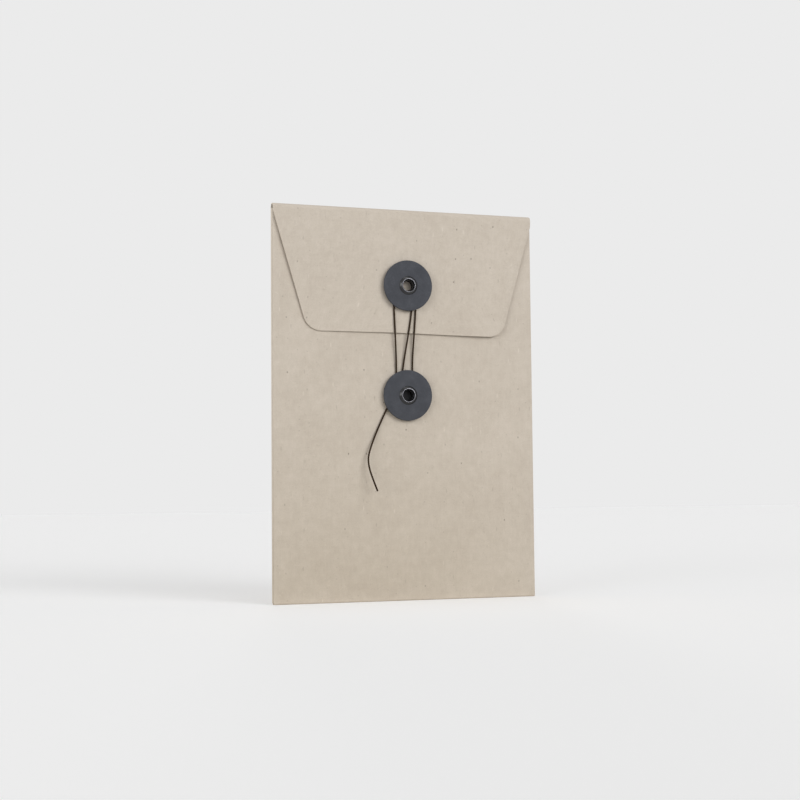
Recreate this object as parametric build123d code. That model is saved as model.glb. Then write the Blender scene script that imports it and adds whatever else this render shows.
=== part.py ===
from build123d import *
import math
import os

os.makedirs("parts", exist_ok=True)

# Millimetres. +Z up the envelope's height, its front faces -Y, +X is to the right seen from the front.
# The origin is at the bottom, midway across the width and midway between the back panel's
# outer face and the upper eyelet's crest.

# Card sheet and pocket
envelope_width = 114.0
envelope_height = 162.0
card = 0.45
pocket_clearance = 0.95
flap_clearance = 0.3
front_panel_inset = 0.4
mouth_drop = 0.6
fold_inner_radius = 0.25

# Seam tabs inside the pocket, glued to the front panel
tab_width = 14.0
tab_end_gap = 3.0
tab_end_slant = 5.0
glue_width = 8.0
glue_thickness = 0.1
glue_end_gap = 6.0

# Flap outline
flap_depth = 52.4
flap_shoulder = 1.0
flap_side_taper = 14.4
flap_corner_radius = 7.8
flap_side_inset = 0.2

# Button discs, placed from the flap's lower edge
upper_disc_above_edge = 20.2
lower_disc_below_edge = 25.3
disc_radius = 10.5
disc_thickness = 1.0
disc_edge_round = 0.15
bore_clearance = 0.08
disc_play = 0.08

# Eyelets and their backing washers
eyelet_hole_radius = 2.2
eyelet_wall = 0.3
flange_width = 1.35
flange_lip = 0.08
clinch_width = 1.1
clinch_thickness = 0.35
washer_margin = 1.9
washer_thickness = 0.3
washer_clearance = 0.05

# Tie string
string_diameter = 0.8
string_clearance = 0.2
loop_slack = 0.7
outer_turn_right = 1.6
outer_turn_left = 3.0
outer_turn_rise = 3.0
left_strand_edge_outset = 1.6
left_strand_rim_outset = 0.85
right_strand_edge_inset = 0.5
right_strand_rim_inset = 1.4
edge_crossing_drop = 0.7
rim_crossing_gap = 1.0
longest_bend = 25.0
exit_run = (-4.0, 0.0, -8.0)
knot_width = 2.8
knot_height = 2.2
knot_clearance = 0.1
knot_grip = 1.3

# Tail: runs after the one that leaves the lower disc straight
tail_first_run = 9.8
tail_runs = [
    (-3.9, -1.2, -9.6),
    (0.1, -1.6, -8.0),
    (3.0, -1.7, -7.3),
]

# Radii and depths that follow
barrel_radius = eyelet_hole_radius + eyelet_wall
flange_radius = barrel_radius + flange_width
flange_height = (flange_radius - eyelet_hole_radius) / 2 + flange_lip
clinch_radius = barrel_radius + clinch_width
washer_radius = clinch_radius + washer_margin
bottom_fold_radius = card + fold_inner_radius
string_space = string_diameter + 2 * string_clearance
pocket_gap = washer_thickness + clinch_thickness + pocket_clearance
flap_gap = washer_thickness + clinch_thickness + flap_clearance
pocket_depth = card + pocket_gap + card
disc_stack = string_space + disc_thickness + disc_play + flange_height
total_depth = pocket_depth + flap_gap + card + disc_stack

# Faces of the sheets, from the back forwards
back_outer_y = total_depth / 2
back_inner_y = back_outer_y - card
front_inner_y = back_inner_y - pocket_gap
front_outer_y = front_inner_y - card
flap_inner_y = front_outer_y - flap_gap
flap_outer_y = flap_inner_y - card
tab_front_y = front_inner_y + glue_thickness

# Heights and widths that follow
half_width = envelope_width / 2
crease_radius = (back_outer_y - flap_outer_y) / 2
hinge_y = (back_outer_y + flap_outer_y) / 2
hinge_z = envelope_height - crease_radius
front_top_z = hinge_z - mouth_drop
front_half = half_width - front_panel_inset
flap_half = half_width - flap_side_inset
flap_lower_half = flap_half - flap_side_taper
flap_shoulder_z = hinge_z - flap_shoulder
flap_bottom_z = envelope_height - flap_depth
upper_disc_z = flap_bottom_z + upper_disc_above_edge
lower_disc_z = flap_bottom_z - lower_disc_below_edge
side_fold_radius = (back_outer_y - tab_front_y) / 2
side_fold_x = half_width - side_fold_radius
side_fold_y = back_outer_y - side_fold_radius
tab_bottom_z = bottom_fold_radius + tab_end_gap
tab_top_z = front_top_z - tab_end_gap


def block(x_low, x_high, y_front, y_back, z_low, z_high):
    """Box between two planes on each axis."""
    box = Box(x_high - x_low, y_back - y_front, z_high - z_low, align=(Align.MIN, Align.MIN, Align.MIN))
    return Pos(x_low, y_front, z_low) * box


def hole_cutter(z_centre):
    """Round cutter along Y for an eyelet's barrel."""
    return Pos(0, 0, z_centre) * Rot(X=90) * Cylinder(barrel_radius, 2 * total_depth)


def turned(profile, z_centre):
    """Solid turned about the Y axis, then raised to its height."""
    return Pos(0, 0, z_centre) * revolve(profile, Axis.Y)


# Back panel and front panel, with the front panel's eyelet hole
back_panel = block(-side_fold_x, side_fold_x, back_inner_y, back_outer_y, bottom_fold_radius, hinge_z)
front_panel = block(-front_half, front_half, front_outer_y, front_inner_y, bottom_fold_radius, front_top_z)
front_panel -= hole_cutter(lower_disc_z)


# Bottom fold: the sheet turns up at both sides of a flat base
def channel_view(depth, radius, z_base):
    """Rounded box seen along the fold; only its lower part is kept."""
    height = pocket_depth + 2 * bottom_fold_radius
    middle = Pos((back_outer_y + front_outer_y) / 2, z_base + height / 2)
    return middle * RectangleRounded(depth, height, radius)


fold_outside = channel_view(pocket_depth, bottom_fold_radius, 0)
fold_inside = channel_view(pocket_gap, fold_inner_radius, card)
fold_band = Pos(0, bottom_fold_radius / 2) * Rectangle(2 * total_depth, bottom_fold_radius)
bottom_fold = extrude(Plane.YZ * ((fold_outside - fold_inside) & fold_band), front_half, both=True)


# Side folds: half-round turns from the back panel to the seam tabs
def side_fold(side):
    """Half tube open towards the middle of the envelope."""
    ring = Circle(side_fold_radius) - Circle(side_fold_radius - card)
    outer_half = Pos(side * side_fold_radius, 0) * Rectangle(2 * side_fold_radius, 4 * side_fold_radius)
    foot = Pos(side * side_fold_x, side_fold_y, bottom_fold_radius)
    return foot * extrude(ring & outer_half, front_top_z - bottom_fold_radius)


# Seam tabs with slanted ends, and the glue between them and the front panel
def seam_tab(side):
    """Flat tab behind the front panel, shorter along its free edge."""
    free_x = side * (side_fold_x - tab_width)
    outline = Polyline(
        (side * side_fold_x, tab_bottom_z),
        (free_x, tab_bottom_z + tab_end_slant),
        (free_x, tab_top_z - tab_end_slant),
        (side * side_fold_x, tab_top_z),
        close=True,
    )
    tab_back_plane = Plane.XZ.offset(-tab_front_y - card)
    return extrude(tab_back_plane * make_face(outline), card)


def seam_glue(side):
    """Thin strip along the middle of a tab."""
    x_low = side * (side_fold_x - tab_width / 2) - glue_width / 2
    z_low = tab_bottom_z + glue_end_gap
    z_high = tab_top_z - glue_end_gap
    return block(x_low, x_low + glue_width, front_inner_y, tab_front_y, z_low, z_high)


# Flap, and the crease that carries it over the top of the back panel
flap_outline = FilletPolyline(
    (-flap_half, hinge_z),
    (-flap_half, flap_shoulder_z),
    (-flap_lower_half, flap_bottom_z),
    (flap_lower_half, flap_bottom_z),
    (flap_half, flap_shoulder_z),
    (flap_half, hinge_z),
    radius=[0, flap_corner_radius, flap_corner_radius, 0],
)
flap_top_edge = Line((flap_half, hinge_z), (-flap_half, hinge_z))
flap_face = make_face([*flap_outline.edges(), *flap_top_edge.edges()])
flap = extrude(Plane.XZ.offset(-flap_inner_y) * flap_face, card)
flap -= hole_cutter(upper_disc_z)

crease_ring = Circle(crease_radius) - Circle(crease_radius - card)
crease_upper_half = Pos(0, crease_radius) * Rectangle(4 * crease_radius, 2 * crease_radius)
crease_section = Pos(hinge_y, hinge_z) * (crease_ring & crease_upper_half)
flap_crease = extrude(Plane.YZ * crease_section, flap_half, both=True)


# Discs, eyelets and backing washers, each turned about its own Y axis
def disc_profile(front_y):
    """Half section of a button disc with eased edges."""
    bore_radius = barrel_radius + bore_clearance
    middle = Pos((bore_radius + disc_radius) / 2, front_y + disc_thickness / 2)
    return middle * RectangleRounded(disc_radius - bore_radius, disc_thickness, disc_edge_round)


def washer_profile(front_y):
    """Half section of a flat backing washer."""
    hole_radius = barrel_radius + washer_clearance
    middle = Pos((hole_radius + washer_radius) / 2, front_y + washer_thickness / 2)
    return middle * Rectangle(washer_radius - hole_radius, washer_thickness)


def eyelet_profile(flange_y, clinch_y):
    """Half section of a tube with a domed flange in front and a clinched ring behind."""
    crest_radius = (eyelet_hole_radius + flange_radius) / 2
    dome_round = (flange_radius - eyelet_hole_radius) / 2
    dome_foot_y = flange_y - flange_lip
    clinch_end_y = clinch_y + clinch_thickness
    clinch_edge_radius = clinch_radius - clinch_thickness
    bore = Line((eyelet_hole_radius, clinch_end_y), (eyelet_hole_radius, dome_foot_y))
    dome = CenterArc((crest_radius, dome_foot_y), dome_round, 180, 180)
    outside = Polyline(
        (flange_radius, dome_foot_y),
        (flange_radius, flange_y),
        (barrel_radius, flange_y),
        (barrel_radius, clinch_y),
        (clinch_radius, clinch_y),
    )
    clinch_edge = CenterArc((clinch_edge_radius, clinch_y), clinch_thickness, 0, 90)
    clinch_back = Line((clinch_edge_radius, clinch_end_y), (eyelet_hole_radius, clinch_end_y))
    lines = (bore, dome, outside, clinch_edge, clinch_back)
    return make_face([edge for line in lines for edge in line.edges()])


def button(sheet_outer_y, z_centre):
    """Disc, eyelet and washer that are riveted through a card sheet."""
    disc_front_y = sheet_outer_y - string_space - disc_thickness
    sheet_inner_y = sheet_outer_y + card
    disc = turned(disc_profile(disc_front_y), z_centre)
    eyelet = turned(eyelet_profile(disc_front_y - disc_play, sheet_inner_y + washer_thickness), z_centre)
    washer = turned(washer_profile(sheet_inner_y), z_centre)
    return disc, eyelet, washer


upper_disc, upper_eyelet, upper_backing_washer = button(flap_outer_y, upper_disc_z)
lower_disc, lower_eyelet, lower_backing_washer = button(front_outer_y, lower_disc_z)

# String route: tied round the upper barrel, down to the left of the lower barrel and under it,
# up on the right, over the upper barrel, down on the left, and out below the lower disc
upper_y = flap_outer_y - string_space / 2
lower_y = front_outer_y - string_space / 2
reach = barrel_radius + string_diameter / 2 + loop_slack
edge_z = flap_bottom_z - edge_crossing_drop
rim_z = lower_disc_z + disc_radius + rim_crossing_gap
loop_top_z = upper_disc_z + reach
loop_bottom_z = upper_disc_z - reach
under_z = lower_disc_z - reach
outer_top_z = loop_top_z + outer_turn_rise


def diagonal_x(z):
    """Where the diagonal strand is at a height."""
    return reach - 2 * reach * (loop_top_z - z) / (loop_top_z - under_z)


knot_strand_x = diagonal_x(loop_bottom_z)
tail_start = Vector(-0.85 * disc_radius, lower_y, lower_disc_z - 0.54 * disc_radius)
winding_points = [
    Vector(knot_strand_x - knot_grip, upper_y, loop_bottom_z),
    Vector(-reach, upper_y, loop_bottom_z),
    Vector(-reach, upper_y, loop_top_z),
    Vector(reach, upper_y, loop_top_z),
    Vector(diagonal_x(edge_z), upper_y, edge_z),
    Vector(diagonal_x(rim_z), lower_y, rim_z),
    Vector(-reach, lower_y, under_z),
    Vector(reach, lower_y, under_z),
    Vector(reach - right_strand_rim_inset, lower_y, rim_z),
    Vector(reach - right_strand_edge_inset, upper_y, edge_z),
    Vector(reach + outer_turn_right, upper_y, outer_top_z),
    Vector(-reach - outer_turn_left, upper_y, outer_top_z),
    Vector(-reach - left_strand_edge_outset, upper_y, edge_z),
    Vector(-reach - left_strand_rim_outset, lower_y, rim_z),
    tail_start - Vector(*exit_run),
    tail_start,
]
tail_points = [tail_start, tail_start + Vector(*exit_run).normalized() * tail_first_run]
for run in tail_runs:
    tail_points.append(tail_points[-1] + Vector(*run))


def bend_radii(points):
    """Radius of the arc at each inner point, from the shorter run beside it and its turn."""
    radii = []
    for before, here, after in zip(points, points[1:], points[2:]):
        run_in = here - before
        run_out = after - here
        half_turn = math.radians(run_in.get_angle(run_out)) / 2
        shorter = min(run_in.length, run_out.length)
        radii.append(min(0.45 * shorter / math.tan(half_turn), longest_bend))
    return radii


def string_tube(name, points):
    """Round tube on straight runs and arcs; prints its bends and its volume against section times length."""
    radii = bend_radii(points)
    path = FilletPolyline(*points, radius=radii)
    section = Plane(origin=path @ 0, z_dir=path % 0) * Circle(string_diameter / 2)
    solid = sweep(section, path=path)
    section_times_length = math.pi * string_diameter**2 / 4 * path.length
    print(name, "length", round(path.length, 1), "bend radii", [round(radius, 1) for radius in radii])
    print(name, "volume over section times length", round(solid.volume / section_times_length, 4))
    return solid, path


def least_gap(path):
    """Smallest clear distance between stretches of a tube that are not neighbours along it."""
    step = 0.25
    count = int(path.length / step)
    places = [path.position_at(k / count) for k in range(count + 1)]
    apart = int(4 * string_diameter / step)
    pairs = ((i, j) for i in range(count + 1) for j in range(i + apart, count + 1))
    return min((places[i] - places[j]).length for i, j in pairs) - string_diameter


string_winding, winding_path = string_tube("string_winding", winding_points)
string_tail, tail_path = string_tube("string_tail", tail_points)
print("string_winding least gap to itself", round(least_gap(winding_path), 3))

# Knot that closes the fixed loop on the diagonal strand, pressed flat under the upper disc
knot_depth = string_space - 2 * knot_clearance
knot_x = knot_strand_x - knot_grip / 3
knot_block = Pos(knot_x, upper_y, loop_bottom_z) * Box(knot_width, knot_depth, knot_height)
string_knot = fillet(knot_block.edges(), 0.45 * knot_depth)

parts = {
    "back_panel": back_panel,
    "front_panel": front_panel,
    "bottom_fold": bottom_fold,
    "left_side_fold": side_fold(-1),
    "right_side_fold": side_fold(1),
    "left_seam_tab": seam_tab(-1),
    "right_seam_tab": seam_tab(1),
    "left_seam_glue": seam_glue(-1),
    "right_seam_glue": seam_glue(1),
    "flap": flap,
    "flap_crease": flap_crease,
    "upper_disc": upper_disc,
    "lower_disc": lower_disc,
    "upper_eyelet": upper_eyelet,
    "lower_eyelet": lower_eyelet,
    "upper_backing_washer": upper_backing_washer,
    "lower_backing_washer": lower_backing_washer,
    "string_knot": string_knot,
    "string_winding": string_winding,
    "string_tail": string_tail,
}
for name, shape in parts.items():
    export_step(shape, f"parts/{name}.step")
print("hinge y", round(hinge_y, 4), "z", round(hinge_z, 4), "back face y", round(back_outer_y, 4))
print("front face y", round(front_outer_y, 4), "flap face y", round(flap_outer_y, 4))
print("disc centres z", round(upper_disc_z, 3), round(lower_disc_z, 3))
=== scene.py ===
"""String tie envelope: a card pocket and flap, two riveted button discs and a wound tie string."""

import math

import bmesh
import bpy
from mathutils import Matrix, Vector, noise


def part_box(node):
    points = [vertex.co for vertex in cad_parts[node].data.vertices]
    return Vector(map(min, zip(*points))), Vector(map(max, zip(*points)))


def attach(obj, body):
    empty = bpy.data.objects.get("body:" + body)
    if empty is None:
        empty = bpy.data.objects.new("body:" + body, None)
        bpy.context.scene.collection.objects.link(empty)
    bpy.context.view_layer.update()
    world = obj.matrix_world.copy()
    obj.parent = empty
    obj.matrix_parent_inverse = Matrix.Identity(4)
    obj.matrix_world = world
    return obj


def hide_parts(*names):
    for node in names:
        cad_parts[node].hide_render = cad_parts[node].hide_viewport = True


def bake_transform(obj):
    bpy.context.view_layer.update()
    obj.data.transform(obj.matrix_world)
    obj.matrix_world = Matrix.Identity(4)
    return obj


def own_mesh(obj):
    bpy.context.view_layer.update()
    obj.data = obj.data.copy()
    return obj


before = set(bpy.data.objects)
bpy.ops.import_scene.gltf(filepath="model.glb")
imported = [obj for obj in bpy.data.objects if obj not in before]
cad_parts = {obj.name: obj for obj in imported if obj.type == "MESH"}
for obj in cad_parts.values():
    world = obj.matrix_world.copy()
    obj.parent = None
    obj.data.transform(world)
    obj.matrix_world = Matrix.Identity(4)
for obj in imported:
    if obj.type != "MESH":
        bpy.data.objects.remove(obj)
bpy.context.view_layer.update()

MM = 0.001

# Sizes read from the frame's solids
front_low, front_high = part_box("front_panel")
back_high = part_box("back_panel")[1]
side_low, side_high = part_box("right_side_fold")
flap_low, flap_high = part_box("flap")
crease_low, crease_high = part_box("flap_crease")
card = front_high.y - front_low.y
front_half = front_high.x
flap_half = flap_high.x
hinge_z = crease_low.z
mouth_z = front_high.z
base_radius = front_low.z
side_fold_x = side_low.x
side_fold_y = (side_low.y + side_high.y) / 2
side_radius = (side_high.y - side_low.y) / 2
crease_y = (crease_low.y + crease_high.y) / 2
crease_radius = (crease_high.y - crease_low.y) / 2
pocket_middle_y = (front_low.y + back_high.y) / 2
flap_depth = hinge_z - flap_low.z

upper_disc_low, upper_disc_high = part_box("upper_disc")
lower_disc_low, lower_disc_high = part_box("lower_disc")
upper_x = (upper_disc_low.x + upper_disc_high.x) / 2
upper_z = (upper_disc_low.z + upper_disc_high.z) / 2
lower_x = (lower_disc_low.x + lower_disc_high.x) / 2
lower_z = (lower_disc_low.z + lower_disc_high.z) / 2

# Sizes of the finer detail
edge_ease = 0.07 * MM
flap_shoulder = 1.0 * MM
flap_lower_half = 42.4 * MM
flap_corner_radius = 7.8 * MM
string_diameter = 0.8 * MM
barrel_radius = 2.5 * MM
eyelet_hole_radius = 2.2 * MM
eyelet_flange_radius = 3.85 * MM
disc_bore_radius = 2.58 * MM
washer_hole_radius = 2.55 * MM
flap_right_trim = 0.4 * MM
flap_left = -flap_half
flap_right = flap_half - flap_right_trim
same_place = 0.001 * MM


# Camera at the photograph's viewing angle

def aim_camera():
    yaw = math.radians(18.681)
    pitch = math.radians(3.734)
    roll = math.radians(-0.537)
    place = (-0.19142, -0.55657, 0.04406)
    forward = Vector((math.sin(yaw) * math.cos(pitch), math.cos(yaw) * math.cos(pitch), math.sin(pitch)))
    level_right = Vector((math.cos(yaw), -math.sin(yaw), 0))
    level_up = level_right.cross(forward)
    right = level_right * math.cos(roll) + level_up * math.sin(roll)
    up = level_up * math.cos(roll) - level_right * math.sin(roll)
    camera = bpy.data.objects.new("camera", bpy.data.cameras.new("camera"))
    camera.data.sensor_width = 36
    camera.data.lens = 64.175
    camera.data.clip_start = 0.01
    turn = Matrix((right, up, -forward)).transposed().to_4x4()
    camera.matrix_world = Matrix.Translation(place) @ turn
    bpy.context.scene.collection.objects.link(camera)
    bpy.context.scene.camera = camera


aim_camera()
bpy.context.scene.view_settings.view_transform = "Standard"


# Helpers for node trees

def feed(tree, socket, value):
    """Link a socket to a value's socket, or set it to a plain value."""
    if isinstance(value, bpy.types.NodeSocket):
        tree.links.new(value, socket)
    else:
        socket.default_value = value


def add_node(tree, kind, inputs=None, **settings):
    made = tree.nodes.new(kind)
    for name, value in settings.items():
        setattr(made, name, value)
    for name, value in (inputs or {}).items():
        feed(tree, made.inputs[name], value)
    return made


def calculate(tree, operation, *values):
    made = add_node(tree, "ShaderNodeMath", operation=operation)
    for socket, value in zip(made.inputs, values):
        feed(tree, socket, value)
    return made.outputs[0]


def weighted(tree, *layers):
    """Sum of values, each times its weight."""
    total = 0.0
    for value, weight in layers:
        total = calculate(tree, "MULTIPLY_ADD", value, weight, total)
    return total


def linear(red, green, blue):
    """Screen colour in 0 to 255, as the linear colour that shaders take."""
    channels = []
    for level in (red / 255, green / 255, blue / 255):
        channels.append(level / 12.92 if level < 0.04045 else ((level + 0.055) / 1.055) ** 2.4)
    return (*channels, 1.0)


# Helpers for finishes

def new_finish(name):
    material = bpy.data.materials.new(name)
    material.use_nodes = True
    tree = material.node_tree
    return material, tree, tree.nodes["Principled BSDF"]


def object_place(tree):
    return add_node(tree, "ShaderNodeTexCoord").outputs["Object"]


def stretched(tree, place, scale):
    return add_node(tree, "ShaderNodeMapping", {"Vector": place, "Scale": scale}).outputs["Vector"]


def shifted(tree, place, shift):
    return add_node(tree, "ShaderNodeMapping", {"Vector": place, "Location": shift}).outputs["Vector"]


def stored(tree, name):
    return add_node(tree, "ShaderNodeAttribute", attribute_name=name).outputs["Fac"]


def grain(tree, place, scale, detail=3.0, roughness=0.55):
    inputs = {"Vector": place, "Scale": scale, "Detail": detail, "Roughness": roughness}
    return add_node(tree, "ShaderNodeTexNoise", inputs).outputs["Fac"]


def tones(tree, factor, stops):
    made = add_node(tree, "ShaderNodeValToRGB", {"Fac": factor})
    ramp = made.color_ramp
    while len(ramp.elements) < len(stops):
        ramp.elements.new(0.5)
    for element, (position, colour) in zip(ramp.elements, stops):
        element.position = position
        element.color = colour
    return made.outputs["Color"]


def spread(tree, value, low, high, to_low, to_high):
    inputs = {"Value": value, "From Min": low, "From Max": high, "To Min": to_low, "To Max": to_high}
    return add_node(tree, "ShaderNodeMapRange", inputs).outputs["Result"]


def relief(tree, shader, height, strength, depth):
    bump = add_node(tree, "ShaderNodeBump", {"Height": height, "Strength": strength, "Distance": depth})
    tree.links.new(bump.outputs["Normal"], shader.inputs["Normal"])


def mixed_colour(tree, factor, first, second):
    """Two colours mixed. The Mix node's colour sockets go by number, as other kinds share their names."""
    made = add_node(tree, "ShaderNodeMix", data_type="RGBA")
    for number, value in ((0, factor), (6, first), (7, second)):
        feed(tree, made.inputs[number], value)
    return made.outputs[2]


def uneven(tree, texture, low, high):
    """A value between two limits that follows the middle of a grain's range."""
    return spread(tree, texture, 0.3, 0.7, low, high)


def coat(tree, shader, colour, roughness, shine=0.5):
    feed(tree, shader.inputs["Base Color"], colour)
    feed(tree, shader.inputs["Roughness"], roughness)
    feed(tree, shader.inputs["Specular IOR Level"], shine)


# Finishes

def sheet_place(tree):
    """Object place, slid sideways with depth so that sheets in front of each other differ in their marks."""
    slide_per_depth = 10.0
    parts = add_node(tree, "ShaderNodeSeparateXYZ", {"Vector": object_place(tree)}).outputs
    slid = calculate(tree, "MULTIPLY_ADD", parts["Y"], slide_per_depth, parts["X"])
    joined = {"X": slid, "Y": parts["Y"], "Z": parts["Z"]}
    return add_node(tree, "ShaderNodeCombineXYZ", joined).outputs["Vector"]


def on_the_sheet(tree, place):
    """Place across and up the sheet, for marks that lie in its face."""
    parts = add_node(tree, "ShaderNodeSeparateXYZ", {"Vector": place}).outputs
    return add_node(tree, "ShaderNodeCombineXYZ", {"X": parts["X"], "Y": parts["Z"]}).outputs["Vector"]


def scattered_marks(tree, flat_place, scale, size, share):
    """Soft dots of about a size, in cell widths, on a share of the cells of a loose grid."""
    inputs = {"Vector": flat_place, "Scale": scale, "Randomness": 1.0}
    cells = add_node(tree, "ShaderNodeTexVoronoi", inputs, voronoi_dimensions="2D")
    near = spread(tree, cells.outputs["Distance"], size * 0.4, size, 1.0, 0.0)
    lots = add_node(tree, "ShaderNodeSeparateColor", {"Color": cells.outputs["Color"]}).outputs
    picked = calculate(tree, "MULTIPLY", near, calculate(tree, "LESS_THAN", lots["Red"], share))
    return calculate(tree, "MULTIPLY", picked, spread(tree, lots["Green"], 0.0, 1.0, 0.25, 1.0))


def curled_fibres(tree, place, scale, width):
    """Short curled hairs: thin contour lines of a noise, broken up by another."""
    field = grain(tree, place, scale, 1.0)
    off_line = calculate(tree, "ABSOLUTE", calculate(tree, "SUBTRACT", field, 0.5))
    line = spread(tree, off_line, 0.0, width, 1.0, 0.0)
    gaps = spread(tree, grain(tree, place, scale * 1.7, 1.0), 0.54, 0.60, 0.0, 1.0)
    return calculate(tree, "MULTIPLY", line, gaps)


def card_finish():
    """Uncoated recycled card: faint clouds, fine pulp, curled hairs, short fibres and dark specks."""
    material, tree, shader = new_finish("card_face")
    place = sheet_place(tree)
    flat = on_the_sheet(tree, place)
    clouds = grain(tree, place, 40.0)
    mottle = grain(tree, place, 300.0, 4.0)
    pulp = grain(tree, place, 1900.0, 3.0, 0.6)
    upright = grain(tree, stretched(tree, place, (1.0, 1.0, 0.18)), 1300.0, 2.0)
    level = grain(tree, stretched(tree, place, (0.18, 1.0, 1.0)), 1300.0, 2.0)
    blend = weighted(tree, (clouds, 0.22), (mottle, 0.30), (pulp, 0.28), (upright, 0.12), (level, 0.08))
    tone = tones(tree, blend, [
        (0.36, linear(190, 179, 166)),
        (0.50, linear(198, 188, 175)),
        (0.64, linear(206, 196, 184)),
    ])
    moved = shifted(tree, place, (0.37, 0.11, 0.53))
    moved_flat = on_the_sheet(tree, moved)
    short_fibre = (1.0, 0.26, 1.0)
    oval_speck = (1.0, 0.7, 1.0)
    dark_hairs = curled_fibres(tree, place, 330.0, 0.012)
    pale_hairs = curled_fibres(tree, moved, 290.0, 0.014)
    dark_fibres = scattered_marks(tree, stretched(tree, flat, short_fibre), 230.0, 0.070, 0.30)
    pale_fibres = scattered_marks(tree, stretched(tree, moved_flat, short_fibre), 230.0, 0.075, 0.26)
    faint_specks = scattered_marks(tree, moved_flat, 240.0, 0.085, 0.20)
    dark_specks = scattered_marks(tree, stretched(tree, flat, oval_speck), 118.0, 0.045, 0.26)
    dark_pulp = linear(112, 100, 86)
    for marks, strength, colour in (
        (dark_hairs, 0.14, linear(128, 114, 97)),
        (pale_hairs, 0.20, linear(226, 218, 206)),
        (dark_fibres, 0.26, dark_pulp),
        (pale_fibres, 0.34, linear(230, 222, 211)),
        (faint_specks, 0.26, dark_pulp),
        (dark_specks, 0.62, linear(84, 73, 61)),
    ):
        tone = mixed_colour(tree, calculate(tree, "MULTIPLY", marks, strength), tone, colour)
    coat(tree, shader, tone, uneven(tree, mottle, 0.82, 0.93), shine=0.2)
    relief(tree, shader, calculate(tree, "ADD", pulp, upright), 0.12, 0.05 * MM)
    return material


card_face = card_finish()


def card_edge_finish():
    """The cut edge of the card, whose pulp layers run along it."""
    material, tree, shader = new_finish("card_cut_edge")
    place = object_place(tree)
    layers = grain(tree, stretched(tree, place, (0.06, 1.0, 0.06)), 7000.0, 2.0)
    pulp = grain(tree, place, 2600.0, 4.0)
    mixed = weighted(tree, (layers, 0.6), (pulp, 0.4))
    colour = tones(tree, mixed, [
        (0.32, linear(170, 158, 141)),
        (0.52, linear(196, 184, 168)),
        (0.70, linear(214, 204, 190)),
    ])
    coat(tree, shader, colour, uneven(tree, pulp, 0.86, 0.96), shine=0.15)
    relief(tree, shader, mixed, 0.35, 0.06 * MM)
    return material


card_cut_edge = card_edge_finish()


def disc_finish():
    """Matt charcoal button board with a fine pressed grain."""
    material, tree, shader = new_finish("charcoal_board")
    place = object_place(tree)
    fine = grain(tree, place, 2600.0, 4.0, 0.65)
    broad = grain(tree, place, 260.0, 3.0)
    colour = tones(tree, weighted(tree, (fine, 0.55), (broad, 0.45)), [
        (0.30, linear(58, 60, 65)),
        (0.50, linear(67, 69, 75)),
        (0.72, linear(80, 82, 88)),
    ])
    coat(tree, shader, colour, uneven(tree, fine, 0.66, 0.80), shine=0.22)
    relief(tree, shader, fine, 0.22, 0.05 * MM)
    return material


charcoal_board = disc_finish()


def eyelet_finish():
    """Black stoved lacquer on steel, worn to bright metal on the lip, which is partly a painted highlight,
    and dull inside the barrel.
    """
    material, tree, shader = new_finish("black_lacquer")
    place = object_place(tree)
    smears = grain(tree, place, 900.0, 3.0)
    pits = grain(tree, place, 5200.0, 3.0)
    lacquer = tones(tree, smears, [
        (0.35, (0.006, 0.006, 0.007, 1.0)),
        (0.65, (0.014, 0.014, 0.016, 1.0)),
    ])
    # The bright steel ring on the lip is worn metal and partly a painted highlight.
    bare_steel_and_highlight = linear(112, 112, 117)
    patchy = spread(tree, smears, 0.35, 0.6, 0.6, 1.0)
    worn_and_highlit = calculate(tree, "MULTIPLY", stored(tree, "lip_wear_and_highlight"), patchy)
    gloss = uneven(tree, smears, 0.16, 0.26)
    roughness = calculate(tree, "MULTIPLY_ADD", stored(tree, "dull_inside"), 0.6, gloss)
    coat(tree, shader, mixed_colour(tree, worn_and_highlit, lacquer, bare_steel_and_highlight), roughness)
    feed(tree, shader.inputs["Metallic"], calculate(tree, "MULTIPLY", worn_and_highlit, 0.9))
    relief(tree, shader, pits, 0.03, 0.02 * MM)
    return material


black_lacquer = eyelet_finish()


def washer_finish():
    """Dark grey hard board of the backing washers."""
    material, tree, shader = new_finish("washer_board")
    fine = grain(tree, object_place(tree), 2200.0, 4.0)
    colour = tones(tree, fine, [
        (0.3, linear(50, 50, 53)),
        (0.5, linear(62, 62, 65)),
        (0.7, linear(76, 76, 79)),
    ])
    coat(tree, shader, colour, uneven(tree, fine, 0.70, 0.88))
    relief(tree, shader, fine, 0.25, 0.04 * MM)
    return material


washer_board = washer_finish()


def glue_finish():
    """Dried gum, cream and a little uneven."""
    material, tree, shader = new_finish("dried_gum")
    runs = grain(tree, object_place(tree), 300.0, 4.0)
    colour = tones(tree, runs, [
        (0.3, linear(206, 194, 160)),
        (0.5, linear(220, 209, 178)),
        (0.7, linear(230, 221, 196)),
    ])
    coat(tree, shader, colour, uneven(tree, runs, 0.34, 0.55))
    relief(tree, shader, runs, 0.3, 0.05 * MM)
    return material


dried_gum = glue_finish()


def string_finish():
    """Waxed dark brown cotton, with painted light and shade: lighter on the crowns of the plies, nearly black
    in the grooves between them.
    """
    material, tree, shader = new_finish("waxed_cotton")
    place = object_place(tree)
    fluff = grain(tree, place, 5200.0, 3.0, 0.6)
    patches = grain(tree, place, 160.0, 2.0)
    # Painted light and shade: lighter on the plies' crowns, darker in the grooves between them.
    shade = weighted(tree, (stored(tree, "ply_light_and_shade"), 0.5), (fluff, 0.5), (patches, 0.2))
    colour = tones(tree, shade, [
        (0.25, linear(22, 15, 9)),
        (0.60, linear(48, 35, 23)),
        (0.95, linear(74, 57, 41)),
    ])
    coat(tree, shader, colour, uneven(tree, fluff, 0.66, 0.82), shine=0.16)
    relief(tree, shader, fluff, 0.3, 0.05 * MM)
    return material


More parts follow.
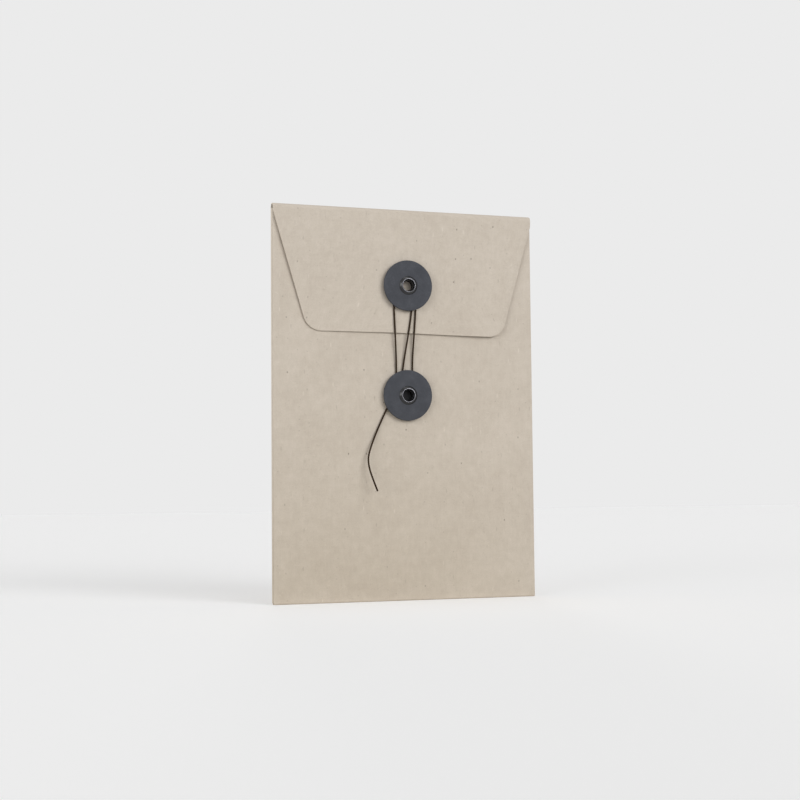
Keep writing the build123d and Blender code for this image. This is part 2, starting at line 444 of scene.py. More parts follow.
waxed_cotton = string_finish()


# Helpers for meshes

def show(name, mesh, *finishes):
    for finish in finishes:
        mesh.materials.append(finish)
    made = bpy.data.objects.new(name, mesh)
    bpy.context.scene.collection.objects.link(made)
    return made


def settle_mesh(bm, name, crease_angle=35):
    """Finish a bmesh as a mesh with smooth faces and sharp creases."""
    mesh = bpy.data.meshes.new(name)
    bmesh.ops.recalc_face_normals(bm, faces=bm.faces)
    bm.to_mesh(mesh)
    bm.free()
    for face in mesh.polygons:
        face.use_smooth = True
    mesh.set_sharp_from_angle(angle=math.radians(crease_angle))
    return mesh


def plain_mesh(holder):
    """The evaluated mesh of an object, as a mesh of its own."""
    graph = bpy.context.evaluated_depsgraph_get()
    return bpy.data.meshes.new_from_object(holder.evaluated_get(graph), depsgraph=graph)


def ease(value):
    """Smooth step from 0 to 1."""
    value = min(max(value, 0.0), 1.0)
    return value * value * (3 - 2 * value)


def rise(value, start, length):
    """Smooth rise from 0 to 1 that begins at a start and takes a length."""
    return ease((value - start) / length)


def steps(first, last, count):
    return [first + (last - first) * k / count for k in range(count + 1)]


# The tie string, one smooth line that is then laid up as three twisted plies

# Depths and control points, in millimetres
under_upper_disc = (flap_low.y + upper_disc_high.y) / 2 / MM
under_lower_disc = (front_low.y + lower_disc_high.y) / 2 / MM
over_flap = -0.66
at_flap_edge = -0.40

winding_route = [
    (1.316, under_upper_disc, 126.2),
    (-3.6, under_upper_disc, 126.2),
    (-3.6, under_upper_disc, 133.4),
    (3.6, under_upper_disc, 133.4),
    (3.2, under_upper_disc, 128.65),
    (1.15, over_flap, 113.7),
    (0.37, at_flap_edge, 108.9),
    (-1.75, under_lower_disc, 95.8),
    (-2.95, under_lower_disc, 85.46),
    (-3.6, under_lower_disc, 80.7),
    (3.6, under_lower_disc, 80.7),
    (3.157, under_lower_disc, 85.48),
    (2.2, under_lower_disc, 95.8),
    (3.0, at_flap_edge, 108.9),
    (3.3, over_flap, 113.7),
    (4.45, under_upper_disc, 131.61),
    (5.0, under_upper_disc, 136.4),
    (-6.6, under_upper_disc, 136.4),
    (-6.356, under_upper_disc, 131.61),
    (-5.42, over_flap, 113.7),
    (-5.17, at_flap_edge, 108.9),
    (-4.45, under_lower_disc, 95.8),
    (-4.925, under_lower_disc, 86.63),
]
tail_route = [
    (-8.925, under_lower_disc, 78.63),
    (-13.4, 0.4425, 69.3),
    (-17.0, -0.7575, 61.0),
    (-17.75, -1.5, 56.9),
    (-16.9, -2.6, 51.8),
    (-14.5, -4.0575, 44.9),
]
string_route = [Vector(point) * MM for point in winding_route + tail_route]
tail_start = Vector(tail_route[0]) * MM


def smooth_line(points):
    """Points along the NURBS line that has these control points."""
    curve = bpy.data.curves.new("string_line", "CURVE")
    curve.dimensions = "3D"
    spline = curve.splines.new("NURBS")
    spline.points.add(len(points) - 1)
    for slot, point in zip(spline.points, points):
        slot.co = (*point, 1.0)
    spline.order_u = 3
    spline.use_endpoint_u = True
    spline.resolution_u = 24
    holder = bpy.data.objects.new("string_line", curve)
    bpy.context.scene.collection.objects.link(holder)
    line = bpy.data.meshes.new_from_object(holder)
    found = [vertex.co.copy() for vertex in line.vertices]
    bpy.data.objects.remove(holder)
    bpy.data.curves.remove(curve)
    bpy.data.meshes.remove(line)
    return found


def new_tree(name, inputs, output):
    """Geometry Nodes tree with inputs of the kinds given and one geometry output, and its inputs' sockets."""
    tree = bpy.data.node_groups.new(name, "GeometryNodeTree")
    for label, kind in inputs.items():
        tree.interface.new_socket(label, in_out="INPUT", socket_type=f"NodeSocket{kind}")
    tree.interface.new_socket(output, in_out="OUTPUT", socket_type="NodeSocketGeometry")
    return tree, add_node(tree, "NodeGroupInput").outputs


def end_tree(tree, geometry, finish, output):
    """Make what a tree has built into real geometry with its finish, and put it out."""
    whole = add_node(tree, "GeometryNodeRealizeInstances", {"Geometry": geometry}).outputs["Geometry"]
    coated = add_node(tree, "GeometryNodeSetMaterial", {"Geometry": whole, "Material": finish})
    add_node(tree, "NodeGroupOutput", {output: coated.outputs["Geometry"]})


def twisted_plies_tree():
    """Sweeps a three-lobed section along a path, turning as it goes, and marks the plies' crowns for the
    string's painted light and shade.
    """
    plies = 3
    tree, given = new_tree("twisted_plies", {
        "Path": "Geometry",
        "String radius": "Float",
        "Groove depth": "Float",
        "Twist length": "Float",
        "Ring spacing": "Float",
        "Start turn": "Float",
        "Finish": "Material",
    }, "String")

    path = add_node(tree, "GeometryNodeMeshToCurve", {"Mesh": given["Path"]}).outputs["Curve"]
    even = add_node(tree, "GeometryNodeResampleCurve", mode="LENGTH")
    feed(tree, even.inputs["Curve"], path)
    feed(tree, even.inputs["Length"], given["Ring spacing"])
    along = add_node(tree, "GeometryNodeSplineParameter").outputs["Length"]
    turns = calculate(tree, "DIVIDE", along, given["Twist length"])
    angle = calculate(tree, "MULTIPLY", calculate(tree, "ADD", turns, given["Start turn"]), 2 * math.pi)
    tilt = add_node(tree, "GeometryNodeSetCurveTilt", {"Curve": even.outputs["Curve"], "Tilt": angle})

    ring = add_node(tree, "GeometryNodeCurvePrimitiveCircle", {"Resolution": 24})
    feed(tree, ring.inputs["Radius"], given["String radius"])
    round_it = add_node(tree, "GeometryNodeSplineParameter").outputs["Factor"]
    wave = calculate(tree, "COSINE", calculate(tree, "MULTIPLY", round_it, 2 * math.pi * plies))
    crown = calculate(tree, "MULTIPLY_ADD", wave, 0.5, 0.5)
    # Crowns marked for the painted light and shade of the string's finish.
    marked = add_node(tree, "GeometryNodeStoreNamedAttribute", data_type="FLOAT", domain="POINT")
    feed(tree, marked.inputs["Geometry"], ring.outputs["Curve"])
    feed(tree, marked.inputs["Name"], "ply_light_and_shade")
    feed(tree, marked.inputs["Value"], crown)
    sunk = calculate(tree, "MULTIPLY", calculate(tree, "SUBTRACT", 1.0, crown), given["Groove depth"])
    keep = calculate(tree, "SUBTRACT", 1.0, sunk)
    lobed_spot = add_node(tree, "ShaderNodeVectorMath", {"Scale": keep}, operation="SCALE")
    feed(tree, lobed_spot.inputs[0], add_node(tree, "GeometryNodeInputPosition").outputs["Position"])
    lobed = add_node(tree, "GeometryNodeSetPosition", {"Geometry": marked.outputs["Geometry"]})
    feed(tree, lobed.inputs["Position"], lobed_spot.outputs[0])

    swept = add_node(tree, "GeometryNodeCurveToMesh", {"Curve": tilt.outputs["Curve"], "Fill Caps": True})
    feed(tree, swept.inputs["Profile Curve"], lobed.outputs["Geometry"])
    soft = add_node(tree, "GeometryNodeSetShadeSmooth", {"Geometry": swept.outputs["Mesh"]})
    end_tree(tree, soft.outputs["Geometry"], given["Finish"], "String")
    return tree


def set_inputs(modifier, values):
    """Set a Geometry Nodes modifier's inputs by their sockets' names."""
    for socket in modifier.node_group.interface.items_tree:
        if socket.item_type == "SOCKET" and socket.in_out == "INPUT" and socket.name in values:
            modifier[socket.identifier] = values[socket.name]


def apply_tree(holder, tree, values):
    """Replace an object's mesh by what a Geometry Nodes tree makes of it."""
    modifier = holder.modifiers.new(tree.name, "NODES")
    modifier.node_group = tree
    set_inputs(modifier, values)
    made = plain_mesh(holder)
    holder.modifiers.clear()
    spent = holder.data
    holder.data = made
    bpy.data.meshes.remove(spent)


def length_of(points):
    return sum((b - a).length for a, b in zip(points, points[1:]))


twisted_plies = twisted_plies_tree()
twist_length = 2.4 * MM


def lay_up_string(name, points, length_before):
    """A length of the string, its twist carried on from the length before it."""
    line = bpy.data.meshes.new(name)
    line.from_pydata(points, [(k, k + 1) for k in range(len(points) - 1)], [])
    made = show(name, line)
    apply_tree(made, twisted_plies, {
        "String radius": string_diameter / 2,
        "Groove depth": 0.16,
        "Twist length": twist_length,
        "Ring spacing": 0.2 * MM,
        "Start turn": length_before / twist_length,
        "Finish": waxed_cotton,
    })
    return made


def pressed_knot():
    """The knot, squeezed flat between the flap and the upper disc."""
    low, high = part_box("string_knot")
    centre = (low + high) / 2
    half = (high - low) / 2
    bluntness = 0.75
    groove_depth = 0.10
    grooves = 9
    groove_slant = 7
    bm = bmesh.new()
    bmesh.ops.create_uvsphere(bm, u_segments=40, v_segments=20, radius=1.0)
    for vertex in bm.verts:
        point = vertex.co
        blunt = [math.copysign(abs(value) ** bluntness, value) for value in point]
        wave = math.cos(grooves * math.atan2(point.z, point.x) + groove_slant * point.y)
        narrowed = 1 - groove_depth * (0.5 + 0.5 * wave)
        vertex.co = centre + Vector(value * size * narrowed for value, size in zip(blunt, half))
    made = show("tie_string_knot", settle_mesh(bm, "tie_string_knot", 60), waxed_cotton)
    return made


string_line = smooth_line(string_route)
split = min(range(len(string_line)), key=lambda k: (string_line[k] - tail_start).length)
winding_line = string_line[:split + 1]
tail_line = string_line[split:]
winding = lay_up_string("tie_string_winding", winding_line, 0.0)
tail = lay_up_string("tie_string_tail", tail_line, length_of(winding_line))
knot = pressed_knot()

for piece in (winding, tail, knot):
    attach(piece, "flap")
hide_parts("string_winding")
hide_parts("string_tail")
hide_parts("string_knot")
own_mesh(winding)
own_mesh(knot)
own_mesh(tail)


# Card sheets, each a closed solid with its cut edges eased

cells_across = 38
cells_up = 53
rim_slot = 1


def card_solid(name, rows, joined):
    """Solid sheet from rows of (outer point, inward direction), its edges eased except where it is joined."""
    sharp_turn = 0.9
    bm = bmesh.new()
    outer = [[bm.verts.new(point) for point, inward in row] for row in rows]
    inner = [[bm.verts.new(point + inward * card) for point, inward in row] for row in rows]
    last_row = len(rows) - 1
    last_column = len(rows[0]) - 1
    for k in range(last_row):
        for i in range(last_column):
            bm.faces.new((outer[k][i], outer[k][i + 1], outer[k + 1][i + 1], outer[k + 1][i]))
            bm.faces.new((inner[k][i], inner[k + 1][i], inner[k + 1][i + 1], inner[k][i + 1]))
    ring = [(0, i) for i in range(last_column)]
    ring += [(k, last_column) for k in range(last_row)]
    ring += [(last_row, i) for i in range(last_column, 0, -1)]
    ring += [(k, 0) for k in range(last_row, 0, -1)]
    for (k, i), (m, j) in zip(ring, ring[1:] + ring[:1]):
        rim = bm.faces.new((outer[k][i], inner[k][i], inner[m][j], outer[m][j]))
        rim.material_index = rim_slot
    bmesh.ops.recalc_face_normals(bm, faces=bm.faces)
    cut = []
    for edge in bm.edges:
        on_rim = any(face.material_index == rim_slot for face in edge.link_faces)
        is_joined = all(joined(vertex.co) for vertex in edge.verts)
        if on_rim and not is_joined and edge.calc_face_angle() > sharp_turn:
            cut.append(edge)
    bmesh.ops.bevel(
        bm, geom=cut, offset=edge_ease, offset_type="OFFSET", segments=2, profile=0.5, affect="EDGES",
    )
    return settle_mesh(bm, name)


def punch(piece, x, z, radius):
    """Cut a round hole through a sheet, along Y."""
    bm = bmesh.new()
    bmesh.ops.create_cone(bm, cap_ends=True, segments=64, radius1=radius, radius2=radius, depth=20 * MM)
    off_the_lines = Matrix.Rotation(math.radians(2), 3, "Z")
    bmesh.ops.rotate(bm, verts=bm.verts, matrix=Matrix.Rotation(math.pi / 2, 3, "X") @ off_the_lines)
    bmesh.ops.translate(bm, verts=bm.verts, vec=(x, 0, z))
    punch_mesh = bpy.data.meshes.new("punch")
    bm.to_mesh(punch_mesh)
    bm.free()
    tool = show("punch", punch_mesh)
    cut = piece.modifiers.new("hole", "BOOLEAN")
    cut.operation = "DIFFERENCE"
    cut.solver = "EXACT"
    cut.object = tool
    made = plain_mesh(piece)
    piece.modifiers.clear()
    piece.data = made
    bpy.data.objects.remove(tool)
    bpy.data.meshes.remove(punch_mesh)


def ripple(x, z, width, height):
    """Slight unevenness of the card, nothing at its edges."""
    margin = 14 * MM
    most = 0.14 * MM
    waves_across = 26
    waves_up = 22
    calm = rise(width - abs(x), 0, margin) * rise(z, 0, margin) * rise(height - z, 0, margin)
    return most * calm * noise.noise(Vector((x * waves_across, 0.4, z * waves_up)))


def level_with(value, target):
    return abs(value - target) < same_place


def on_hinge_line(point):
    return level_with(point.z, hinge_z)


def front_sheet():
    """Front panel and the fold under it, as one bent sheet."""
    outer_y = front_low.y
    stations = []
    for z in steps(mouth_z, base_radius, cells_up):
        stations.append((outer_y, z, (1.0, 0.0)))
    for turn in steps(0, math.pi / 2, 8)[1:]:
        y = outer_y + base_radius * (1 - math.cos(turn))
        stations.append((y, base_radius * (1 - math.sin(turn)), (math.cos(turn), math.sin(turn))))
    for turn in steps(0, math.pi / 2, 8):
        y = back_high.y - base_radius * (1 - math.sin(turn))
        stations.append((y, base_radius * (1 - math.cos(turn)), (-math.sin(turn), math.cos(turn))))
    rows = []
    for y, z, (inward_y, inward_z) in stations:
        row = []
        for x in steps(-front_half, front_half, cells_across):
            bulge = ripple(x, z, front_half, mouth_z) * inward_y
            row.append((Vector((x, y + bulge, z)), Vector((0, inward_y, inward_z))))
        rows.append(row)

    def meets_back(point):
        return level_with(point.z, base_radius) and point.y > pocket_middle_y

    made = show("front_sheet", card_solid("front_sheet", rows, meets_back), card_face, card_cut_edge)
    punch(made, lower_x, lower_z, barrel_radius)
    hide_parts("front_panel", "bottom_fold")
    return made


def back_sheet():
    """Back panel and the two side folds, as one bent sheet."""
    stations = []
    for turn in steps(0, math.pi, 16):
        x = -side_fold_x - side_radius * math.sin(turn)
        stations.append((x, side_fold_y - side_radius * math.cos(turn), (math.sin(turn), math.cos(turn))))
    for x in steps(-side_fold_x, side_fold_x, cells_across)[1:-1]:
        stations.append((x, back_high.y, (0.0, -1.0)))
    for turn in steps(math.pi, 0, 16):
        x = side_fold_x + side_radius * math.sin(turn)
        stations.append((x, side_fold_y - side_radius * math.cos(turn), (-math.sin(turn), math.cos(turn))))
    rows = []
    for x, y, (inward_x, inward_y) in stations:
        row = []
        for z in steps(base_radius, hinge_z, cells_up):
            bulge = ripple(x, z, side_fold_x, hinge_z)
            row.append((Vector((x, y - abs(bulge), z)), Vector((inward_x, inward_y, 0))))
        rows.append(row)

    def meets_other(point):
        at_base = level_with(point.z, base_radius)
        at_tab = level_with(abs(point.x), side_fold_x) and point.y < side_fold_y
        return at_base or at_tab or on_hinge_line(point)

    made = show("back_sheet", card_solid("back_sheet", rows, meets_other), card_face, card_cut_edge)
    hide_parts("back_panel", "left_side_fold", "right_side_fold")
    return made


def flap_lean(x, z):
    """How far the flap leans in: most at the lower left, nothing by the disc, lifted at the lower right."""
    middle_lean = 0.42 * MM
    side_lean = 0.40 * MM
    right_lean = 0.15 * MM
    corner_lift = 0.55 * MM
    down = (hinge_z - z) / flap_depth
    across = x / flap_half
    from_disc = math.hypot(x - upper_x, z - upper_z)
    free = rise(from_disc, 8 * MM, 18 * MM)
    lean = down * (middle_lean - side_lean * across) * down
    right_side = right_lean * rise(across, 0.50, 0.30) * rise(down, 0, 0.30)
    lift = corner_lift * rise(x, 14 * MM, 20 * MM) * rise(down, 0.72, 0.28)
    return free * (lean + right_side - lift)


def flap_skew(x, z):
    """How much higher the flap hangs on its left than on its right."""
    left_lift = 0.7 * MM
    lift_start = 38 * MM
    lift_length = 50 * MM
    to_left = ease((lift_start - x) / lift_length)
    return left_lift * to_left * (hinge_z - z) / flap_depth


def flap_sheet():
    """The trapezoid flap, with its two lower corners rounded."""
    slope = Vector((flap_lower_half - flap_half, flap_low.z - (hinge_z - flap_shoulder))).normalized()
    turn = math.acos(-slope.x)
    reach = flap_corner_radius * math.tan(turn / 2)
    corner_x = flap_lower_half - reach
    corner_z = flap_low.z + flap_corner_radius
    outline = [(flap_half, hinge_z), (flap_half, hinge_z - flap_shoulder)]
    slant_end_z = flap_low.z - slope.y * reach
    for z in steps(hinge_z - flap_shoulder, slant_end_z, 24)[1:]:
        outline.append((flap_half + (z - hinge_z + flap_shoulder) * slope.x / slope.y, z))
    start = math.asin((corner_z - slant_end_z) / flap_corner_radius)
    for angle in steps(start, math.pi / 2, 12)[1:]:
        x = corner_x + flap_corner_radius * math.cos(angle)
        outline.append((x, corner_z - flap_corner_radius * math.sin(angle)))
    straight_back = Vector((0, 1, 0))
    rows = []
    for half, z in outline:
        row = []
        for x in steps(max(-half, flap_left), min(half, flap_right), 44):
            y = flap_low.y + flap_lean(x, z)
            row.append((Vector((x, y, z + flap_skew(x, z))), straight_back))
        rows.append(row)
    made = show("flap_sheet", card_solid("flap_sheet", rows, on_hinge_line), card_face, card_cut_edge)
    punch(made, upper_x, upper_z, barrel_radius)
    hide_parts("flap")
    return made


def crease_sheet():
    """The rolled fold over the top that the flap hinges on."""
    rows = []
    for turn in steps(0, math.pi, 24):
        inward = Vector((0, -math.cos(turn), -math.sin(turn)))
        row = []
        for x in steps(flap_left, flap_right, cells_across):
            row.append((Vector((x, crease_y, hinge_z)) - inward * crease_radius, inward))
        rows.append(row)
    made = show("crease_sheet", card_solid("crease_sheet", rows, on_hinge_line), card_face, card_cut_edge)
    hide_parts("flap_crease")
    return made


front = front_sheet()
back = back_sheet()
flap = flap_sheet()
crease = crease_sheet()
for sheet, body in ((front, "pocket"), (back, "pocket"), (flap, "flap")):
    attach(sheet, body)
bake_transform(crease)


# Turned pieces: button discs, eyelets and washers

def turned(name, profile, x, z, finish, segments=96):
    """Closed ring turned about the Y axis, from a closed profile of (radius, y) points."""
    bm = bmesh.new()
    rings = []
    for k in range(segments):
        angle = 2 * math.pi * k / segments
        across = math.cos(angle)
        up = math.sin(angle)
        rings.append([bm.verts.new((x + radius * across, y, z + radius * up)) for radius, y in profile])
    count = len(profile)
    for ring, following in zip(rings, rings[1:] + rings[:1]):
        for i in range(count):
            j = (i + 1) % count
            bm.faces.new((ring[i], ring[j], following[j], following[i]))
    return show(name, settle_mesh(bm, name), finish)


def rounded_corner(radius, y, turn_from, turn_to, size, count=5):
    """Points of a quarter round about (radius, y), between two angles in degrees."""
    points = []
    for angle in steps(math.radians(turn_from), math.radians(turn_to), count):
        points.append((radius + size * math.cos(angle), y + size * math.sin(angle)))
    return points


def button_disc(name, node, body, x, z):
    """Pressed board disc with eased edges and two faint layer lines round its rim."""
    low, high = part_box(node)
    radius = (high.x - low.x) / 2
    middle_radius = radius * 0.55
    thickness = high.y - low.y
    bore_ease = 0.05 * MM
    eased_bore_radius = disc_bore_radius + bore_ease
    round_size = 0.2 * MM
    layer_dip = 0.03 * MM
    layer_half = 0.04 * MM
    profile = [(disc_bore_radius, high.y - bore_ease), (disc_bore_radius, low.y + bore_ease)]
    profile += [(eased_bore_radius, low.y), (middle_radius, low.y)]
    profile += rounded_corner(radius - round_size, low.y + round_size, -90, 0, round_size)
    for share in (0.38, 0.62):
        y = low.y + share * thickness
        profile += [(radius, y - layer_half), (radius - layer_dip, y), (radius, y + layer_half)]
    profile += rounded_corner(radius - round_size, high.y - round_size, 0, 90, round_size)
    profile += [(middle_radius, high.y), (eased_bore_radius, high.y)]
    made = turned(name, profile, x, z, charcoal_board, 128)
    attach(made, body)
    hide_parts(node)
    return made


def eyelet_shell(name, node, body, x, z, back_y, closed):
    """Rivet with a flared mouth, a rolled flange and a barrel through disc and card, closed behind or not."""
    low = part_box(node)[0]
    lip_radius = 2.72 * MM
    lip_round = 0.12 * MM
    mouth_depth = 1.0 * MM
    mouth_flare = 1.4
    flange_roll = 1.6
    rim_height = 0.08 * MM
    end_wall = 0.15 * MM
    pinhole = 0.05 * MM
    wear_and_highlight_reach = 0.30 * MM
    dull_length = 0.5 * MM
    foot_y = low.y + (eyelet_flange_radius - eyelet_hole_radius) / 2
    under_flange_y = foot_y + rim_height
    profile = [(eyelet_hole_radius, back_y)]
    if closed:
        end_y = back_y - end_wall
        profile = [(pinhole, back_y), (pinhole, end_y), (eyelet_hole_radius, end_y)]
    for share in steps(0, 1, 8):
        radius = eyelet_hole_radius + share * (lip_radius - lip_round - eyelet_hole_radius)
        profile.append((radius, low.y + lip_round + (1 - share ** mouth_flare) * (mouth_depth - lip_round)))
    profile += rounded_corner(lip_radius, low.y + lip_round, 180, 270, lip_round)[1:]
    for share in steps(0, 1, 16)[1:]:
        radius = lip_radius + share * (eyelet_flange_radius - lip_radius)
        profile.append((radius, low.y + (foot_y - low.y) * share ** flange_roll))
    profile += [(eyelet_flange_radius - 0.02 * MM, foot_y + 0.05 * MM)]
    profile += [(eyelet_flange_radius - 0.10 * MM, under_flange_y)]
    profile += [(barrel_radius, under_flange_y), (barrel_radius, back_y)]
    made = turned(name, profile, x, z, black_lacquer)
    # Lip mask: worn metal, and partly a painted highlight ring round the lip.
    lip_wear_and_highlight = []
    dull_inside = []
    for vertex in made.data.vertices:
        from_axis = math.hypot(vertex.co.x - x, vertex.co.z - z)
        depth = vertex.co.y - low.y
        from_lip = math.hypot(from_axis - lip_radius, depth)
        lip_wear_and_highlight.append(ease(1.3 - from_lip / wear_and_highlight_reach))
        dull_inside.append(rise(depth, mouth_depth, dull_length))
    made.data.attributes.new("lip_wear_and_highlight", "FLOAT", "POINT").data.foreach_set("value", lip_wear_and_highlight)
    made.data.attributes.new("dull_inside", "FLOAT", "POINT").data.foreach_set("value", dull_inside)
    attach(made, body)
    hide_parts(node)
    return made


def clinch_petals_tree():
    """The split barrel end behind the card, its petals rolled out and down on the washer."""
    middle_share = 0.35
    tip_loss = 0.35
    tree, given = new_tree("clinch_petals", {
        "Start": "Geometry",
        "Petals": "Int",
        "Root radius": "Float",
        "Tip radius": "Float",
        "Root height": "Float",
        "Roll height": "Float",
        "Tip height": "Float",
        "Petal width": "Float",
        "Metal thickness": "Float",
        "Centre": "Vector",
        "Finish": "Material",
    }, "Clinch")

    root_radius = given["Root radius"]
    tip_radius = given["Tip radius"]
    middle_radius = weighted(tree, (root_radius, 1 - middle_share), (tip_radius, middle_share))
    spine = add_node(tree, "GeometryNodeCurveQuadraticBezier", {"Resolution": 10})
    for end, radius, height in (
        ("Start", root_radius, given["Root height"]),
        ("Middle", middle_radius, given["Roll height"]),
        ("End", tip_radius, given["Tip height"]),
    ):
        corner = add_node(tree, "ShaderNodeCombineXYZ", {"X": radius, "Y": height})
        feed(tree, spine.inputs[end], corner.outputs["Vector"])
    along = add_node(tree, "GeometryNodeSplineParameter").outputs["Factor"]
    towards_tip = calculate(tree, "POWER", along, 3.0)
    narrowing = calculate(tree, "SUBTRACT", 1.0, calculate(tree, "MULTIPLY", towards_tip, tip_loss))
    tapered = add_node(tree, "GeometryNodeSetCurveRadius", {"Curve": spine.outputs["Curve"]})
    feed(tree, tapered.inputs["Radius"], narrowing)
    section = add_node(tree, "GeometryNodeCurvePrimitiveQuadrilateral", mode="RECTANGLE")
    feed(tree, section.inputs["Width"], given["Metal thickness"])
    feed(tree, section.inputs["Height"], given["Petal width"])
    petal = add_node(tree, "GeometryNodeCurveToMesh", {"Curve": tapered.outputs["Curve"], "Fill Caps": True})
    feed(tree, petal.inputs["Profile Curve"], section.outputs["Curve"])
    feed(tree, petal.inputs["Scale"], narrowing)

    spots = add_node(tree, "GeometryNodePoints", {"Count": given["Petals"], "Position": given["Centre"]})
    index = add_node(tree, "GeometryNodeInputIndex").outputs["Index"]
    share = calculate(tree, "DIVIDE", index, given["Petals"])
    turn = add_node(tree, "ShaderNodeCombineXYZ", {"Y": calculate(tree, "MULTIPLY", share, 2 * math.pi)})
    placed = add_node(tree, "GeometryNodeInstanceOnPoints", {"Points": spots.outputs["Points"]})
    feed(tree, placed.inputs["Instance"], petal.outputs["Mesh"])
    feed(tree, placed.inputs["Rotation"], turn.outputs["Vector"])
    end_tree(tree, placed.outputs["Instances"], given["Finish"], "Clinch")
    return tree


clinch_petals = clinch_petals_tree()


def eyelet_clinch(name, body, x, z, washer_back_y, clinch_back_y):
    """The split end of an eyelet, clinched on its washer."""
    made = show(name, bpy.data.meshes.new(name))
    metal = 0.18 * MM
    apply_tree(made, clinch_petals, {
        "Petals": 8,
        "Root radius": eyelet_hole_radius + 0.12 * MM,
        "Tip radius": 3.55 * MM,
        "Root height": washer_back_y,
        "Roll height": 2 * (clinch_back_y - metal / 2) - washer_back_y - metal / 2,
        "Tip height": washer_back_y + metal / 2,
        "Petal width": 1.5 * MM,
        "Metal thickness": metal,
        "Centre": (x, 0.0, z),
        "Finish": black_lacquer,
    })
    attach(made, body)
    return made


def backing_washer(name, node, body, x, z):
    """Flat board ring under a clinch, its outer edges eased."""
    low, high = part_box(node)
    radius = (high.x - low.x) / 2
    corner = 0.07 * MM
    profile = [(washer_hole_radius, high.y), (washer_hole_radius, low.y)]
    profile += rounded_corner(radius - corner, low.y + corner, -90, 0, corner, 3)
    profile += rounded_corner(radius - corner, high.y - corner, 0, 90, corner, 3)
    made = turned(name, profile, x, z, washer_board)
    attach(made, body)
    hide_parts(node)
    return made


for which, riveted_to, x, z in (("upper", "flap", upper_x, upper_z), ("lower", "pocket", lower_x, lower_z)):
    washer_back_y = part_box(f"{which}_backing_washer")[1].y
    clinch_back_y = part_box(f"{which}_eyelet")[1].y
    barrel_end_y = washer_back_y + 0.1 * MM
    closed = which == "lower"
    button_disc(f"{which}_button_disc", f"{which}_disc", f"{which}_disc", x, z)
    eyelet_shell(f"{which}_eyelet_shell", f"{which}_eyelet", riveted_to, x, z, barrel_end_y, closed)
    eyelet_clinch(f"{which}_eyelet_clinch", riveted_to, x, z, washer_back_y, clinch_back_y)
    backing_washer(f"{which}_washer", f"{which}_backing_washer", riveted_to, x, z)


# Carried-over solids inside the pocket

for side in ("left", "right"):
    for node, finish in ((f"{side}_seam_tab", card_face), (f"{side}_seam_glue", dried_gum)):
        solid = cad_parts[node]
        solid.data.materials.clear()
        solid.data.materials.append(finish)


# Floor, backdrop and lights

backdrop_grey = linear(235, 235, 235)


def seen_directly(tree):
    """1 for rays that show the surroundings to the camera, also by reflection or through glass."""
    rays = add_node(tree, "ShaderNodeLightPath").outputs
    direct = calculate(tree, "MAXIMUM", rays["Is Camera Ray"], rays["Is Glossy Ray"])
    return calculate(tree, "MAXIMUM", direct, rays["Is Transmission Ray"])


def show_either(tree, lighting, seen, output):
    """Give one shader to the rays that light the object and one to those that show the surroundings."""
    either = add_node(tree, "ShaderNodeMixShader", {"Fac": seen_directly(tree)})
    feed(tree, either.inputs[1], lighting)
    feed(tree, either.inputs[2], seen)
    feed(tree, tree.nodes[output].inputs["Surface"], either.outputs["Shader"])


def bounced_tone(tree):
    """Tone of the light that the floor throws back: warm before the envelope, pale at its foot and afar."""
    warm_tone = (0.43, 0.37, 0.22, 1.0)
    foot_tone = (0.86, 0.82, 0.74, 1.0)
    far_tone = (0.80, 0.80, 0.80, 1.0)
    warm_spot = (-30 * MM, -30 * MM, 0.0)
    warm_end = 45 * MM
    far_start = 150 * MM
    foot_width = 1.5 * MM
    foot_end = 4.0 * MM
    place = object_place(tree)
    from_spot = add_node(tree, "ShaderNodeVectorMath", operation="DISTANCE")
    feed(tree, from_spot.inputs[0], place)
    feed(tree, from_spot.inputs[1], warm_spot)
    far_off = spread(tree, from_spot.outputs["Value"], warm_end, far_start, 0.0, 1.0)
    floor_y = add_node(tree, "ShaderNodeSeparateXYZ", {"Vector": place}).outputs["Y"]
    from_foot = calculate(tree, "ABSOLUTE", calculate(tree, "SUBTRACT", floor_y, front_low.y))
    at_foot = spread(tree, from_foot, foot_width, foot_end, 1.0, 0.0)
    return mixed_colour(tree, at_foot, mixed_colour(tree, far_off, warm_tone, far_tone), foot_tone)


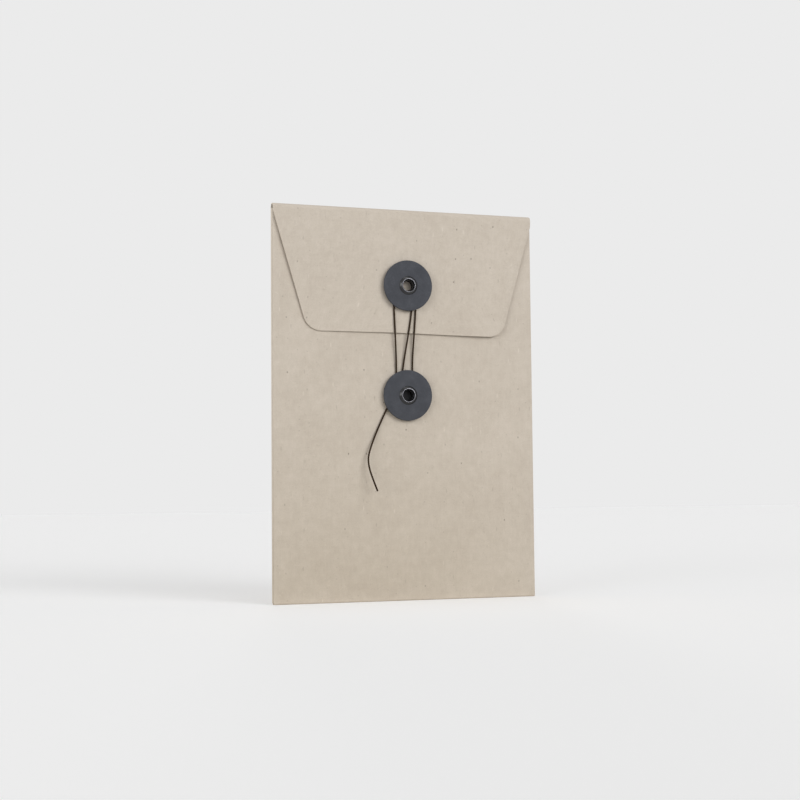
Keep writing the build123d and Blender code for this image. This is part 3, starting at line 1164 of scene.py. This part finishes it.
def lay_floor():
    """Pale floor, as bright as the backdrop, that keeps the envelope's shadow."""
    half_size = 3.0
    paper_tone = (0.83, 0.83, 0.83, 1.0)
    glow_strength = 0.270
    bm = bmesh.new()
    bmesh.ops.create_grid(bm, x_segments=1, y_segments=1, size=half_size)
    mesh = bpy.data.meshes.new("floor")
    bm.to_mesh(mesh)
    bm.free()
    material, tree, shader = new_finish("floor_paper")
    tree.nodes.remove(shader)
    paper = add_node(tree, "ShaderNodeBsdfDiffuse", {"Color": paper_tone})
    glow = add_node(tree, "ShaderNodeEmission", {"Color": backdrop_grey, "Strength": glow_strength})
    shown = add_node(tree, "ShaderNodeAddShader")
    feed(tree, shown.inputs[0], glow.outputs["Emission"])
    feed(tree, shown.inputs[1], paper.outputs["BSDF"])
    bounce = add_node(tree, "ShaderNodeBsdfDiffuse", {"Color": bounced_tone(tree)})
    show_either(tree, bounce.outputs["BSDF"], shown.outputs["Shader"], "Material Output")
    show("floor", mesh, material)


def light_world():
    """Even light from all round, with the backdrop's grey to be seen in its place."""
    white = (1.0, 1.0, 1.0, 1.0)
    light_strength = 0.34
    world = bpy.data.worlds.new("studio")
    world.use_nodes = True
    tree = world.node_tree
    around = tree.nodes["Background"]
    around.inputs["Color"].default_value = white
    around.inputs["Strength"].default_value = light_strength
    backdrop = add_node(tree, "ShaderNodeBackground", {"Color": backdrop_grey, "Strength": 1.0})
    show_either(tree, around.outputs["Background"], backdrop.outputs["Background"], "World Output")
    bpy.context.scene.world = world


def add_far_light(name, towards, spread_degrees, strength):
    """Soft light from far off, which is the same all over the floor."""
    lamp = bpy.data.lights.new(name, "SUN")
    lamp.angle = math.radians(spread_degrees)
    lamp.energy = strength
    holder = bpy.data.objects.new(name, lamp)
    holder.rotation_euler = Vector(towards).to_track_quat("Z", "Y").to_euler()
    bpy.context.scene.collection.objects.link(holder)


lay_floor()
light_world()
add_far_light("key_light", towards=(0.62, -1.0, 0.40), spread_degrees=30, strength=1.00)
add_far_light("front_light", towards=(0.20, -1.0, 0.25), spread_degrees=30, strength=0.61)
add_far_light("side_light", towards=(-1.0, -0.25, 0.22), spread_degrees=35, strength=0.37)
add_far_light("fill_light", towards=(-1.0, -0.80, 0.32), spread_degrees=28, strength=0.55)
add_far_light("back_light", towards=(0.25, 1.0, 0.07), spread_degrees=12, strength=1.15)
add_far_light("edge_light", towards=(-1.0, 0.12, 0.03), spread_degrees=14, strength=1.25)
add_far_light("top_light", towards=(0.0, 0.05, 1.0), spread_degrees=37, strength=0.44)
